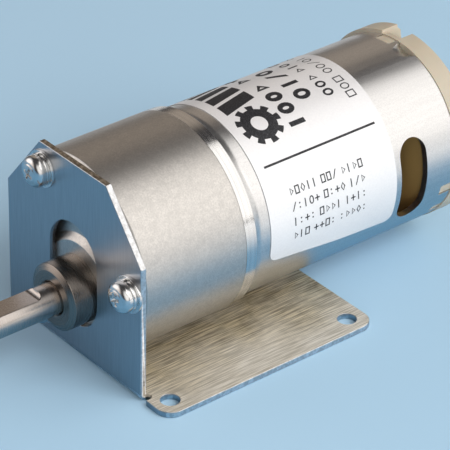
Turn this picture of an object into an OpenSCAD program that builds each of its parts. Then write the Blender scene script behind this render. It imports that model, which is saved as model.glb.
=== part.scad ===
// Geared DC motor on an L-shaped mounting bracket.
// +Z is up and +X points out of the output shaft. The origin is on the underside of the base
// plate, below the motor's axis and midway between the two mounting holes. Places along the
// motor are given as a depth: the distance behind the front face of the bracket, so depth 0
// is that face. The base plate reaches out beyond the motor on one side only.

/* [Bracket] */
// Thickness of the bent sheet
sheet_t = 1.2; // [1:0.1:1.4]
// Width of the base plate
base_w = 45.75; // [43:0.05:60]
// Distance between mounting holes along the motor
hole_dx = 40.6; // [38:0.1:41]
// Distance from the mounting holes to the side edge
hole_side_inset = 3.7; // [3:0.1:6]
// Diameter of the mounting holes
hole_d = 3.5; // [3:0.1:4]
// Distance from the front mounting hole to the front face
hole_inset = 3.45; // [3:0.05:5]
// Distance from the rear mounting hole to the rear edge
hole_rear_inset = 3.8; // [3:0.1:6]
// Corner radius of the base plate
corner_r = 3; // [2:0.5:4]
// Width of the upright plate
plate_w = 38.2; // [38:0.1:42]
// Height of the upright plate
plate_h = 39.1; // [39:0.1:42]
// Height at which its chamfers start
chamfer_z = 27; // [26:0.1:29]
// Width of its top edge
plate_top_w = 18.8; // [18:0.1:24]
// Width of the opening for the output bush
opening_w = 13.6; // [13.2:0.1:14]

/* [Gearbox] */
// Height of the motor and gearbox axis above the underside
axis_z = 20.42; // [20.4:0.02:22]
// Distance from the motor axis down to the output axis
output_drop = 7; // [6.8:0.1:7.2]
// Diameter of the gearbox
gearbox_d = 37.8; // [37.6:0.1:38.4]
// Diameter of the circle through the three case screws
screw_circle_d = 32.1; // [32:0.1:32.4]
// Diameter of the output shaft
shaft_d = 6; // [5:0.5:6]
// Length of the output shaft in front of the bracket
shaft_front = 25; // [15:1:40]
// Length of the flat on the output shaft
flat_l = 17; // [8:1:20]
// Depth of the flat on the output shaft
flat_depth = 0.8; // [0.3:0.1:1]
// Diameter of the front bush
bush_d = 12.6; // [12:0.1:12.8]

/* [Gears] */
// Gear module
gear_module = 0.5; // [0.5:0.01:0.51]
// Teeth on the motor pinion
motor_pinion_teeth = 15; // [15:1:15]
// Teeth on the layshaft gear
lay_gear_teeth = 24; // [24:1:24]
// Teeth on the layshaft pinion
lay_pinion_teeth = 16; // [16:1:16]
// Teeth on the output gear
output_gear_teeth = 25; // [25:1:25]
// Clearance between the tooth flanks of a pair
backlash = 0.08; // [0.06:0.01:0.12]

/* [Motor] */
// Diameter of the motor can
can_d = 36; // [35.8:0.1:36.4]
// Depth of the rear edge of the can
can_rear = 74.05; // [74:0.05:75]
// Thickness of the end cap's rim
cap_rim = 4.5; // [4:0.1:5]
// Diameter of the motor shaft
motor_shaft_d = 3.17; // [3:0.01:3.17]
// Number of armature poles
poles = 3; // [3:1:3]
// Depth at which the label starts
label_front = 29.7; // [29:0.1:31]
// Length of the label
label_l = 29.6; // [20:0.1:30]

/* [Hidden] */
$fn = 96;

// Clearances: pressed or glued pieces, screws through holes, and turning shafts
slip = 0.01;
through = 0.1;
running = 0.03;

// Bracket
front_x = hole_dx / 2 + hole_inset;
rear_x = -hole_dx / 2 - hole_rear_inset;
bend_in = 0.2;
bend_out = bend_in + sheet_t;
far_y = -plate_w / 2;
near_y = far_y + base_w;
hole_y = near_y - hole_side_inset;
relief_w = 1.6;
relief_l = 1.7;
opening_low_z = axis_z - output_drop - 0.2;
opening_high_z = axis_z - 0.2;

// Case screws, M3 pan head
screw_angles = [1.5, 121.5, 241.5];
screw_r = 1.5;
head_d = 5.8;
head_h = 2.1;
head_edge = 0.7;
flat_washer_t = 0.5;
flat_washer_d = 7;
spring_washer_t = 0.8;
spring_washer_d = 6.1;
case_screw_tip = 25;

// Gearbox, as depths from front to rear
housing_front = sheet_t;
housing_inner = 4.5;
housing_rear = 23.5;
rear_plate_inner = 21.5;
rear_plate_rear = 25.85;
housing_bore = 17.2;
front_recess = 1;
front_rim_r = 13.4;
pad_r = 8.8;
column_r = 2.8;
plate_front = 12.9;
plate_rear = 14.9;
output_z = axis_z - output_drop;
boss_rear = 8;
bush_nose = 4.1;
bush_bevel_l = 0.6;
bush_bevel_r = 1.1;
bush_spigot_r = 5;
rear_bush_r = 4.5;
washer_gap = 0.05;
thrust_t = 0.45;
shaft_chamfer = 0.5;
groove_w = 0.7;
groove_depth = 0.25;
// The shaft is ground a hair larger between its flat and the groove
seat_extra = 0.005;

// Gear train: the layshaft lies where both centre distances meet
pressure_angle = 20;
centre_a = gear_module * (motor_pinion_teeth + lay_gear_teeth) / 2;
centre_b = gear_module * (lay_pinion_teeth + output_gear_teeth) / 2;
lay_dz = (pow(centre_b, 2) - pow(centre_a, 2) - pow(output_drop, 2)) / (2 * output_drop);
lay_y = -sqrt(pow(centre_a, 2) - pow(lay_dz, 2));
lay_z = axis_z + lay_dz;
// Directions from the motor to the layshaft, and from the layshaft to the output shaft
mesh_a = atan2(lay_dz, lay_y);
mesh_b = atan2(output_z - lay_z, -lay_y);
rear_gears_front = 16;
rear_gears_rear = 19;
front_gears_front = boss_rear + thrust_t + 2 * washer_gap;
front_gears_rear = plate_front - thrust_t - 2 * washer_gap;
lay_shaft_r = 1.5;
lay_bush_r = 3;
lay_bush_l = 3;
lay_boss_r = 4.2;
lay_hub_r = 2.6;
lay_front = 4.6;
lay_rear = 24.4;

// Motor, as depths from front to rear
can_front = rear_plate_rear;
can_r = can_d / 2;
can_wall = 1.3;
can_shoulder = 2;
can_boss_r = 6.5;
can_boss_l = 3;
front_bush_r = 4;
motor_shaft_r = motor_shaft_d / 2;
motor_screw_r = 12.5;
motor_screw_angles = [90, 270];
vent_front = 60.6;
vent_w = 6.3;
vent_h = 16.5;
label_t = 0.12;
label_gap = 0.01;
label_from = -19;
label_to = 196;
// Cut-outs in the rear edge of the can: angle, width in degrees, length
key_angles = [94.7, 274.7];
key_w = 12.5;
notches = concat([for (a = key_angles) [a, key_w, 2.1]],
    [for (turn = [0, 180]) each [[turn - 16.5, 7, 3], [turn - 35.5, 6, 2.6]]]);
// Dents that lock the end cap: angle
crimps = [79, 259];
crimp_r = 3;
crimp_depth = 0.5;
magnet_front = 31;
magnet_rear = 57;
magnet_t = 4;
magnet_half_angle = 56;
magnet_r = can_r - can_wall - magnet_t;
clip_t = 0.8;
core_front = 33;
core_rear = 55;
core_r = magnet_r - 0.5;
core_hub_r = 4.6;
pole_stem_w = 5;
pole_cap_t = 2.2;
pole_half_angle = 52;
coil_t = 2.4;
coil_gap = 0.1;
coil_front = core_front - coil_t;
coil_rear = core_rear + coil_t;
commutator_front = 59;
commutator_rear = 69;
commutator_r = 4;
brush_front = 62.6;
brush_w = 4;
brush_l = 5;
brush_t = 5;
holder_wall = 0.4;
brush_plate_front = 68.05;
brush_plate_rear = 69.5;
holder_outer_z = 15;
spring_r = 1.5;
spring_wire_r = 0.2;
spring_turns = 5;
cap_spigot = 70.5;
cap_face = can_rear + cap_rim;
cap_boss_rear = 82.6;
cap_boss_r = 6;
cap_wall = 2.4;
cap_proud = 0.15;
cap_raised = 0.6;
cap_raised_rear = 77.9;
cap_raised_sector = [101, 161];
key_web = 1.1;
key_depth = 2.6;
cooling_angles = [35, 145, 215, 325];
cooling_r = 11;
cooling_w = 3.4;
cooling_l = 8;
rear_bush_front = 77;
motor_shaft_rear = 81.6;
tab_w = 4.8;
tab_t = 0.6;
tab_rear = 86;
tab_r = 14;
tab_hole_d = 1.8;
tab_hole_inset = 2.4;
link_r = 14.2;
link_bore = 11.8;
link_t = 0.5;
pillar_w = 6;
pillar_low = 6;
pillar_high = 11.3;

// ---- Helpers -------------------------------------------------------------------------

// Points of an arc about c from angle a0 to a1
function arc(c, r, a0, a1, n = 8) =
    [for (i = [0:n]) c + r * [cos(a0 + (a1 - a0) * i / n), sin(a0 + (a1 - a0) * i / n)]];

// Stands a flat drawing in the YZ plane, with its extrusion running forward from a depth
module facing(depth, y = 0, z = axis_z)
    translate([front_x - depth, y, z]) rotate([90, 0, 90]) children();

// Round bar along the motor, between two depths
module bar(r, front, rear, y = 0, z = axis_z)
    facing(rear, y, z) cylinder(r = r, h = rear - front);

// Round tube along the motor, between two depths
module tube(r, bore, front, rear, y = 0, z = axis_z)
    facing(rear, y, z) difference() {
        cylinder(r = r, h = rear - front);
        translate([0, 0, -1]) cylinder(r = bore, h = rear - front + 2);
    }

// Turned part from a profile of [radius, depth] points
module turned(profile, y = 0, z = axis_z)
    facing(0, y, z) rotate_extrude() polygon([for (p = profile) [p[0], -p[1]]]);

// Pie-shaped cutter between two angles, along the motor
module sector(a0, a1, front, rear, r = 30)
    facing(rear) linear_extrude(rear - front)
        polygon(concat([[0, 0]], arc([0, 0], r, a0, a1, 12)));

// Slot outline with round ends, its length along the second axis
module slot_outline(width, length)
    polygon(concat(arc([0, length / 2 - width / 2], width / 2, 0, 180, 16),
        arc([0, width / 2 - length / 2], width / 2, 180, 360, 16)));

module at_case_screws()
    for (a = screw_angles)
        translate([0, screw_circle_d / 2 * cos(a), screw_circle_d / 2 * sin(a)]) children();

module at_motor_screws()
    for (a = motor_screw_angles)
        translate([0, motor_screw_r * cos(a), motor_screw_r * sin(a)]) children();

// Cross recess for a screwdriver, sunk into a head whose top is at z = 0
module cross_recess(width, depth)
    for (a = [45, 135])
        rotate([0, 0, a]) translate([-width / 2, -0.45, -depth]) cube([width, 0.9, depth + 1]);

// Screw with a domed pan head. The head sits on z = 0 and the shank runs down to -length
module pan_screw(length, d, h, edge) {
    difference() {
        rotate_extrude() polygon(concat([[0, 0], [d / 2, 0]],
            arc([d / 2 - edge * 1.6, h - edge * 1.6], edge * 1.6, 0, 62, 6), [[0, h]]));
        translate([0, 0, h]) cross_recess(d * 0.52, h * 0.55);
    }
    translate([0, 0, -length]) cylinder(r = screw_r - slip, h = length + 0.1);
}

// ---- Gear teeth ----------------------------------------------------------------------

function involute_angle(a) = (tan(a) - a * PI / 180) * 180 / PI;

// Half of a tooth's angle at the radius r
function tooth_half_angle(teeth, r) =
    let (pitch_r = gear_module * teeth / 2, base_r = pitch_r * cos(pressure_angle))
    90 / teeth - backlash / 4 / pitch_r * 180 / PI
        + involute_angle(pressure_angle) - involute_angle(acos(min(1, base_r / r)));

// Outline of a gear with the middle of one tooth at the angle phase
function gear_points(teeth, phase) =
    let (pitch_r = gear_module * teeth / 2, base_r = pitch_r * cos(pressure_angle),
        tip_r = pitch_r + gear_module, root_r = pitch_r - 1.25 * gear_module, steps = 4,
        radii = concat([root_r], [for (i = [0:steps]) base_r + (tip_r - base_r) * i / steps]))
    [for (t = [0:teeth - 1], side = [-1, 1], i = [0:steps + 1])
        let (r = radii[side < 0 ? i : steps + 1 - i],
            a = phase + 360 * t / teeth + side * tooth_half_angle(teeth, max(r, base_r)))
        r * [cos(a), sin(a)]];

// Spur gear between two depths
module gear(teeth, phase, front, rear, y, z)
    facing(rear, y, z) linear_extrude(rear - front) polygon(gear_points(teeth, phase));

// A gap of a driven gear faces the tooth of its driver, which lies along the mesh direction
function driven_phase(mesh, teeth) = mesh + 180 + 180 / teeth;

// ---- Bracket and fasteners -----------------------------------------------------------

// The base reaches the bend; beside it, a notch frees the part that sticks out
module base_outline() {
    notch_x = front_x - relief_l + relief_w / 2;
    polygon(concat(
        arc([rear_x + corner_r, near_y - corner_r], corner_r, 180, 90),
        arc([front_x - corner_r, near_y - corner_r], corner_r, 90, 0),
        [[front_x, plate_w / 2 + relief_w]],
        arc([notch_x, plate_w / 2 + relief_w / 2], relief_w / 2, 90, 270, 8),
        [[front_x - bend_out, plate_w / 2], [front_x - bend_out, far_y]],
        arc([rear_x + corner_r, far_y + corner_r], corner_r, 270, 180)));
}

// Side view of the bend and the upright: first axis forward, second axis up
module upright_profile()
    polygon(concat(
        [[-bend_out - 1, 0]],
        arc([-bend_out, bend_out], bend_out, -90, 0, 10),
        [[0, plate_h], [-sheet_t, plate_h]],
        arc([-bend_out, bend_out], bend_in, 0, -90, 10),
        [[-bend_out - 1, sheet_t]]));

module upright()
    intersection() {
        translate([front_x, plate_w / 2, 0]) rotate([90, 0, 0])
            linear_extrude(plate_w) upright_profile();
        facing(10, 0, 0) linear_extrude(20)
            polygon([[-plate_w / 2, -1], [plate_w / 2, -1], [plate_w / 2, chamfer_z],
                [plate_top_w / 2, plate_h], [-plate_top_w / 2, plate_h],
                [-plate_w / 2, chamfer_z]]);
    }

module mounting_bracket()
    color("lightsteelblue") difference() {
        union() {
            linear_extrude(sheet_t) base_outline();
            upright();
        }
        for (x = [-1, 1])
            translate([x * hole_dx / 2, hole_y, -1]) cylinder(d = hole_d, h = sheet_t + 2);
        facing(sheet_t + 1, 0, (opening_low_z + opening_high_z) / 2)
            linear_extrude(sheet_t + 2)
            slot_outline(opening_w, opening_high_z - opening_low_z + opening_w);
        at_case_screws() bar(screw_r + through, -1, sheet_t + 1);
    }

module flat_washers()
    color("gainsboro") at_case_screws()
        tube(flat_washer_d / 2, screw_r + through, -flat_washer_t, 0);

module spring_washers()
    color("silver") at_case_screws() difference() {
        tube(spring_washer_d / 2, screw_r + through,
            -flat_washer_t - spring_washer_t, -flat_washer_t);
        // The slanted split that makes it springy
        translate([front_x + flat_washer_t + spring_washer_t / 2, 0,
            axis_z + spring_washer_d / 2])
            rotate([0, 0, 30]) cube([3 * spring_washer_t, 0.5, spring_washer_d], center = true);
    }

module case_screws() {
    head_seat = flat_washer_t + spring_washer_t;
    color("whitesmoke") at_case_screws() facing(-head_seat)
        pan_screw(head_seat + case_screw_tip, head_d, head_h, head_edge);
}

// ---- Gearbox -------------------------------------------------------------------------

module housing_columns()
    intersection() {
        at_case_screws() bar(column_r, housing_inner - 0.5, plate_front - slip);
        bar(housing_bore + 0.8, housing_inner - 1, plate_front + 1);
    }

module gearbox_housing()
    color("darkgray") difference() {
        union() {
            difference() {
                turned([[0, housing_front], [gearbox_d / 2 - 0.4, housing_front],
                    [gearbox_d / 2, housing_front + 0.4], [gearbox_d / 2, housing_rear - slip],
                    [housing_bore, housing_rear - slip], [housing_bore, housing_inner],
                    [0, housing_inner]]);
                bar(front_rim_r, housing_front - 1, housing_front + front_recess);
            }
            housing_columns();
            // Raised pad round the output shaft, with a bevelled edge
            intersection() {
                turned([[0, housing_front], [pad_r, housing_front],
                    [pad_r + 1.3, housing_front + front_recess],
                    [pad_r + 1.3, housing_inner - 0.5], [0, housing_inner - 0.5]], z = output_z);
                bar(gearbox_d / 2 - 1, housing_front, housing_inner);
            }
            bar(bush_spigot_r + 2, housing_inner - 0.5, boss_rear, z = output_z);
            bar(lay_boss_r, housing_inner - 0.5, housing_inner + lay_bush_l, lay_y, lay_z);
        }
        at_case_screws() bar(screw_r + through, housing_front - 1, housing_rear + 1);
        bar(bush_spigot_r + slip, housing_front - 1, boss_rear + 1, z = output_z);
        bar(lay_bush_r + slip, housing_inner, housing_rear + 1, lay_y, lay_z);
    }

module bearing_plate()
    color("silver") difference() {
        bar(housing_bore - 0.05, plate_front, plate_rear);
        at_case_screws() bar(screw_r + through, plate_front - 1, plate_rear + 1);
        bar(rear_bush_r + slip, plate_front - 1, plate_rear + 1, z = output_z);
        bar(lay_shaft_r + 0.6, plate_front - 1, plate_rear + 1, lay_y, lay_z);
    }

module gearbox_rear_plate()
    color("lightgray") difference() {
        union() {
            bar(gearbox_d / 2, housing_rear, rear_plate_rear);
            bar(housing_bore - 0.05, rear_plate_inner, housing_rear + 1);
            intersection() {
                at_case_screws() bar(column_r, plate_rear + slip, rear_plate_inner + 1);
                bar(housing_bore - 0.05, plate_rear, rear_plate_rear);
            }
        }
        at_case_screws() bar(screw_r, plate_rear - 1, rear_plate_rear + 1);
        at_motor_screws() bar(screw_r + through, rear_plate_inner - 1, rear_plate_rear + 1);
        bar(can_boss_r + slip, rear_plate_inner - 1, rear_plate_rear + 1);
        bar(lay_bush_r + slip, rear_plate_inner - 1, rear_plate_inner + lay_bush_l,
            lay_y, lay_z);
    }

module output_bush()
    color("dimgray") turned([
        [shaft_d / 2 + running + 0.35, -bush_nose - bush_bevel_l],
        [bush_d / 2 - bush_bevel_r, -bush_nose - bush_bevel_l], [bush_d / 2, -bush_nose],
        [bush_d / 2, housing_front - slip], [bush_spigot_r, housing_front - slip],
        [bush_spigot_r, boss_rear], [shaft_d / 2 + running, boss_rear],
        [shaft_d / 2 + running, -bush_nose - bush_bevel_l + 0.35]], z = output_z);

module output_rear_bush()
    color("peru") tube(rear_bush_r, shaft_d / 2 + running, plate_front, plate_rear,
        z = output_z);

// Shaft with a flat, and a relief groove where it leaves the bush
module output_shaft() {
    groove_front = -bush_nose - bush_bevel_l - washer_gap;
    seat_front = flat_l - shaft_front - 0.05;
    color("lightslategray") difference() {
        turned([[0, -shaft_front], [shaft_d / 2 - shaft_chamfer, -shaft_front],
            [shaft_d / 2, -shaft_front + shaft_chamfer],
            [shaft_d / 2, seat_front], [shaft_d / 2 + seat_extra, seat_front],
            [shaft_d / 2 + seat_extra, groove_front],
            [shaft_d / 2 - groove_depth, groove_front],
            [shaft_d / 2 - groove_depth, groove_front + groove_w],
            [shaft_d / 2, groove_front + groove_w], [shaft_d / 2, plate_rear],
            [0, plate_rear]], z = output_z);
        translate([front_x + shaft_front - flat_l, -shaft_d,
            output_z + shaft_d / 2 - flat_depth])
            cube([flat_l + 1, 2 * shaft_d, shaft_d]);
    }
}

module output_gear()
    color("slategray") difference() {
        gear(output_gear_teeth, driven_phase(mesh_b, output_gear_teeth),
            front_gears_front, front_gears_rear, 0, output_z);
        bar(shaft_d / 2 + slip, 0, 20, z = output_z);
    }

module thrust_washers()
    color("goldenrod") for (front = [boss_rear + washer_gap, front_gears_rear + washer_gap])
        tube(shaft_d / 2 + 1, shaft_d / 2 + running, front, front + thrust_t, z = output_z);

module layshaft()
    color("silver") bar(lay_shaft_r, lay_front, lay_rear, lay_y, lay_z);

module layshaft_gear()
    color("slategray") difference() {
        union() {
            gear(lay_gear_teeth, driven_phase(mesh_a, lay_gear_teeth),
                rear_gears_front, rear_gears_rear, lay_y, lay_z);
            bar(lay_hub_r, rear_gears_rear - 1, rear_plate_inner - 0.1, lay_y, lay_z);
        }
        bar(lay_shaft_r + slip, 10, 25, lay_y, lay_z);
    }

module layshaft_pinion()
    color("slategray") difference() {
        union() {
            gear(lay_pinion_teeth, mesh_b, front_gears_front, front_gears_rear,
                lay_y, lay_z);
            bar(lay_hub_r, housing_inner + lay_bush_l + 0.1, front_gears_front + 1,
                lay_y, lay_z);
        }
        bar(lay_shaft_r + slip, 5, 20, lay_y, lay_z);
    }

module layshaft_bushes()
    color("peru") for (front = [housing_inner + slip, rear_plate_inner])
        tube(lay_bush_r, lay_shaft_r + running, front, front + lay_bush_l - slip,
            lay_y, lay_z);

module motor_pinion()
    color("goldenrod") difference() {
        gear(motor_pinion_teeth, mesh_a, rear_gears_front - 0.5, rear_gears_rear + 1,
            0, axis_z);
        bar(motor_shaft_r + slip, 10, 25);
    }

// ---- Motor case ----------------------------------------------------------------------

module motor_screws()
    color("dimgray") at_motor_screws() facing(rear_plate_inner)
        pan_screw(rear_plate_rear - rear_plate_inner + can_wall + 0.6, 5.5, 1.8, 0.6);

module can_notches()
    for (n = notches)
        intersection() {
            sector(n[0] - n[1] / 2, n[0] + n[1] / 2, can_rear - n[2], can_rear + 1);
            tube(can_r + 1, can_r - can_wall - 1, can_rear - 6, can_rear + 2);
        }

module motor_can() {
    inner_r = can_r - can_wall;
    color("whitesmoke") difference() {
        turned(concat(
            [[front_bush_r + slip, can_front - can_boss_l],
                [can_boss_r - 0.4, can_front - can_boss_l],
                [can_boss_r, can_front - can_boss_l + 0.4], [can_boss_r, can_front + slip]],
            [for (t = [0:15:90]) [can_r - can_shoulder * (1 - sin(t)),
                can_front + slip + can_shoulder * (1 - cos(t))]],
            [[can_r, can_rear], [inner_r, can_rear], [inner_r, can_front + can_shoulder],
                [inner_r - 0.7, can_front + can_wall], [front_bush_r + slip,
                can_front + can_wall]]));
        at_motor_screws() bar(screw_r, can_front - 1, can_front + can_wall + 1);
        for (side = [0, 180])
            translate([front_x - vent_front - vent_w / 2, 0, axis_z]) rotate([90, 0, side])
                translate([0, 0, 10]) linear_extrude(10) slot_outline(vent_w, vent_h);
        can_notches();
        for (a = crimps)
            facing(can_rear - 1.6) rotate([0, 0, a])
                translate([can_r + crimp_r - crimp_depth, 0, 0]) rotate([0, 20, 0])
                cylinder(r = crimp_r, h = 8, center = true);
    }
}

// Paper sleeve part of the way round the can, with rounded corners
module motor_label()
    color("white") intersection() {
        tube(can_r + label_gap + label_t, can_r + label_gap, label_front,
            label_front + label_l);
        sector(label_from, label_to, label_front - 1, label_front + label_l + 1);
    }

module field_magnets()
    color("darkslategray") for (a = [90, 270])
        intersection() {
            tube(can_r - can_wall - slip, magnet_r, magnet_front, magnet_rear);
            sector(a - magnet_half_angle, a + magnet_half_angle, magnet_front - 1,
                magnet_rear + 1);
        }

// Springy strips that push the magnets apart
module magnet_clips()
    color("silver") for (a = [0, 180])
        intersection() {
            tube(can_r - can_wall - slip, can_r - can_wall - clip_t, magnet_front + 4,
                magnet_rear - 4);
            sector(a - (89.5 - magnet_half_angle), a + (89.5 - magnet_half_angle),
                magnet_front, magnet_rear);
        }

module motor_front_bush()
    color("peru") tube(front_bush_r, motor_shaft_r + running, can_front - can_boss_l + 0.3,
        can_front + can_wall + 0.7);

module motor_rear_bush()
    color("peru") tube(front_bush_r, motor_shaft_r + running, rear_bush_front,
        cap_boss_rear - 1);

// ---- Armature ------------------------------------------------------------------------

module armature_shaft()
    color("silver") turned([[0, rear_gears_front - 0.5],
        [motor_shaft_r - 0.3, rear_gears_front - 0.5],
        [motor_shaft_r, rear_gears_front - 0.2], [motor_shaft_r, motor_shaft_rear],
        [0, motor_shaft_rear]]);

module armature_core()
    color("gray") facing(core_rear) difference() {
        union() {
            cylinder(r = core_hub_r, h = core_rear - core_front);
            for (p = [0:poles - 1])
                rotate([0, 0, 90 + 360 * p / poles]) {
                    translate([0, -pole_stem_w / 2, 0])
                        cube([core_r - 1, pole_stem_w, core_rear - core_front]);
                    intersection() {
                        difference() {
                            cylinder(r = core_r, h = core_rear - core_front);
                            translate([0, 0, -1])
                                cylinder(r = core_r - pole_cap_t, h = core_rear);
                        }
                        translate([0, 0, -1]) linear_extrude(core_rear) polygon(concat(
                            [[0, 0]], arc([0, 0], 30, -pole_half_angle, pole_half_angle)));
                    }
                }
        }
        translate([0, 0, -1]) cylinder(r = motor_shaft_r + slip, h = core_rear);
    }

// One coil round the stem of each pole
module armature_windings() {
    half_w = pole_stem_w / 2 + coil_t;
    inner = core_hub_r + 0.4;
    outer = sqrt(pow(core_r - pole_cap_t - coil_gap, 2) - pow(half_w, 2));
    color("chocolate") for (p = [0:poles - 1])
        facing(coil_rear) rotate([0, 0, 90 + 360 * p / poles]) difference() {
            translate([inner, -half_w, 0])
                cube([outer - inner, 2 * half_w, coil_rear - coil_front]);
            translate([0, -pole_stem_w / 2 - coil_gap / 2,
                core_front - coil_front - coil_gap / 2])
                cube([30, pole_stem_w + coil_gap, core_rear - core_front + coil_gap]);
        }
}

module commutator_hub()
    color("saddlebrown") tube(commutator_r - 1, motor_shaft_r + slip, commutator_front,
        commutator_rear);

module commutator_segments()
    color("orange") difference() {
        union() {
            tube(commutator_r, commutator_r - 1 + slip, commutator_front + 1, commutator_rear);
            // Riser where the wires are joined
            tube(commutator_r + 1, commutator_r - 1 + slip, commutator_front,
                commutator_front + 1.2);
        }
        for (p = [0:poles - 1])
            facing(commutator_rear + 1) rotate([0, 0, 90 + 360 * p / poles])
                translate([0, -0.25, 0]) cube([8, 0.5, commutator_rear]);
    }

// Insulating sleeves that set the armature's end play
module armature_spacers()
    color("ivory") {
        tube(3, motor_shaft_r + slip, can_front + can_wall + 0.8, coil_front - 0.4);
        tube(3, motor_shaft_r + slip, commutator_rear + 0.05, rear_bush_front - 0.1);
    }

// ---- End cap and brush gear ----------------------------------------------------------

module at_brushes()
    for (side = [0, 180])
        translate([front_x - brush_front - brush_l / 2, 0, axis_z])
            rotate([side, 0, 0]) children();

// Flat bar for a terminal, between two depths, made wider all round by some clearance
module terminal_blade(turn, front, rear, clearance = 0)
    facing(rear) rotate([0, 0, turn])
        translate([tab_r - tab_t / 2 - clearance, -tab_w / 2 - clearance, 0])
        cube([tab_t + 2 * clearance, tab_w + 2 * clearance, rear - front]);

module end_cap() {
    spigot_r = can_r - can_wall - 0.05;
    color("wheat") difference() {
        union() {
            // Rim, spigot and rear wall, hollow inside
            turned([[0, can_rear - 1], [spigot_r - cap_wall, can_rear - 1],
                [spigot_r - cap_wall, cap_spigot], [spigot_r, cap_spigot],
                [spigot_r, can_rear + slip], [can_r + cap_proud, can_rear + slip],
                [can_r + cap_proud, cap_face - 0.6], [can_r + cap_proud - 0.6, cap_face],
                [cap_boss_r + 1.5, cap_face], [cap_boss_r, cap_face + 1],
                [cap_boss_r, cap_boss_rear - 0.5], [cap_boss_r - 0.5, cap_boss_rear],
                [0, cap_boss_rear]]);
            // Lugs that fill the cut-outs of the can
            for (n = notches)
                intersection() {
                    sector(n[0] - n[1] / 2 + 0.4, n[0] + n[1] / 2 - 0.4,
                        can_rear - n[2] + 0.1, can_rear + 1);
                    tube(can_r - 0.15, spigot_r - 1, can_rear - 4.5, can_rear + 1);
                }
            // Band behind the lugs
            tube(spigot_r, spigot_r - cap_wall, can_rear - 4.5, can_rear);
            // Raised part of the rim beside a key slot
            intersection() {
                sector(cap_raised_sector[0], cap_raised_sector[1], can_rear, cap_face);
                tube(can_r + cap_proud + cap_raised, spigot_r - 1, can_rear + slip,
                    cap_raised_rear);
            }
            // Pillars that carry the brush plate
            at_brushes() translate([brush_front + brush_l / 2 - can_rear - 0.5,
                -pillar_w / 2, pillar_low])
                cube([can_rear + 0.5 - brush_plate_rear, pillar_w, pillar_high - pillar_low]);
        }
        // Key slots in the rim, in line with the wide cut-outs of the can
        for (a = key_angles)
            intersection() {
                sector(a - key_w / 2, a + key_w / 2, can_rear + key_web, cap_face + 1);
                tube(can_r + 2, can_r - key_depth, can_rear + key_web, cap_face + 1);
            }
        for (a = cooling_angles)
            facing(cap_face + 1) rotate([0, 0, a]) translate([cooling_r, 0, -1])
                linear_extrude(10) slot_outline(cooling_w, cooling_l);
        bar(front_bush_r + slip, can_rear - 2, cap_boss_rear - 1 + slip);
        bar(motor_shaft_r + 0.4, can_rear - 2, cap_boss_rear + 1);
        for (turn = [0, 180])
            terminal_blade(turn, can_rear - 5, cap_face + 1, 0.05);
    }
}

// Resin board that carries the brush holders
module brush_plate()
    color("sienna") tube(can_r - can_wall - 0.4, commutator_r + 1, brush_plate_front,
        brush_plate_rear);

module brush_holders()
    color("gold") at_brushes() difference() {
        translate([-brush_l / 2 - holder_wall, -brush_w / 2 - holder_wall,
            commutator_r + 0.8])
            cube([brush_l + 2 * holder_wall, brush_w + 2 * holder_wall,
                holder_outer_z - commutator_r - 0.8]);
        translate([-brush_l / 2 - 0.05, -brush_w / 2 - 0.05, 0])
            cube([brush_l + 0.1, brush_w + 0.1, holder_outer_z - 0.4]);
    }

// Carbon block with its end hollowed to the commutator, standing above or below it
module brush(side)
    color("black") difference() {
        translate([front_x - brush_front - brush_l, -brush_w / 2,
            side > 0 ? axis_z : axis_z - commutator_r - brush_t])
            cube([brush_l, brush_w, commutator_r + brush_t]);
        bar(commutator_r + 0.03, brush_front - 1, brush_front + brush_l + 1);
    }

module upper_brush() brush(1);

module lower_brush() brush(-1);

// Coil spring as a stack of rings, one solid through the thin strip that joins them
module brush_spring(side) {
    low = commutator_r + brush_t + 0.02;
    high = holder_outer_z - 0.42;
    pitch = (high - low - 2 * spring_wire_r) / spring_turns;
    color("darkgray") translate([front_x - brush_front - brush_l / 2, 0, axis_z])
        rotate([side > 0 ? 0 : 180, 0, 0]) {
            for (i = [0:spring_turns])
                translate([0, 0, low + spring_wire_r + i * pitch])
                    rotate_extrude($fn = 36) translate([spring_r, 0])
                        circle(r = spring_wire_r, $fn = 16);
            translate([spring_r - 0.12, -0.12, low + spring_wire_r])
                cube([0.24, 0.24, spring_turns * pitch]);
        }
}

module upper_brush_spring() brush_spring(1);

module lower_brush_spring() brush_spring(-1);

module motor_terminals()
    color("gold") for (turn = [0, 180])
        difference() {
            union() {
                terminal_blade(turn, brush_plate_rear + slip, tab_rear);
                // Quarter ring behind the brush plate, from the blade round to a brush holder
                intersection() {
                    tube(link_r, link_bore, brush_plate_rear + slip, brush_plate_rear + link_t);
                    sector(turn, turn + 90, brush_plate_rear, brush_plate_rear + 1);
                }
            }
            facing(tab_rear - tab_hole_inset) rotate([0, 0, turn]) translate([tab_r - 2, 0, 0])
                rotate([0, 90, 0]) cylinder(d = tab_hole_d, h = 4);
        }

mounting_bracket();
case_screws();
spring_washers();
flat_washers();
gearbox_housing();
gearbox_rear_plate();
bearing_plate();
output_bush();
output_rear_bush();
output_shaft();
output_gear();
thrust_washers();
layshaft();
layshaft_gear();
layshaft_pinion();
layshaft_bushes();
motor_pinion();
motor_screws();
motor_can();
motor_label();
field_magnets();
magnet_clips();
motor_front_bush();
motor_rear_bush();
armature_shaft();
armature_core();
armature_windings();
commutator_hub();
commutator_segments();
armature_spacers();
end_cap();
brush_plate();
brush_holders();
upper_brush();
lower_brush();
upper_brush_spring();
lower_brush_spring();
motor_terminals();
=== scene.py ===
"""Looks for the geared DC motor: finer visible pieces, materials, soft studio light and camera.

All lengths are metres in the row frame: +X out of the output shaft, +Z up.
Angles round the motor are degrees from +Y towards +Z.
"""
import math
import random

import bmesh
import bpy
from mathutils import Matrix, Vector


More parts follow.
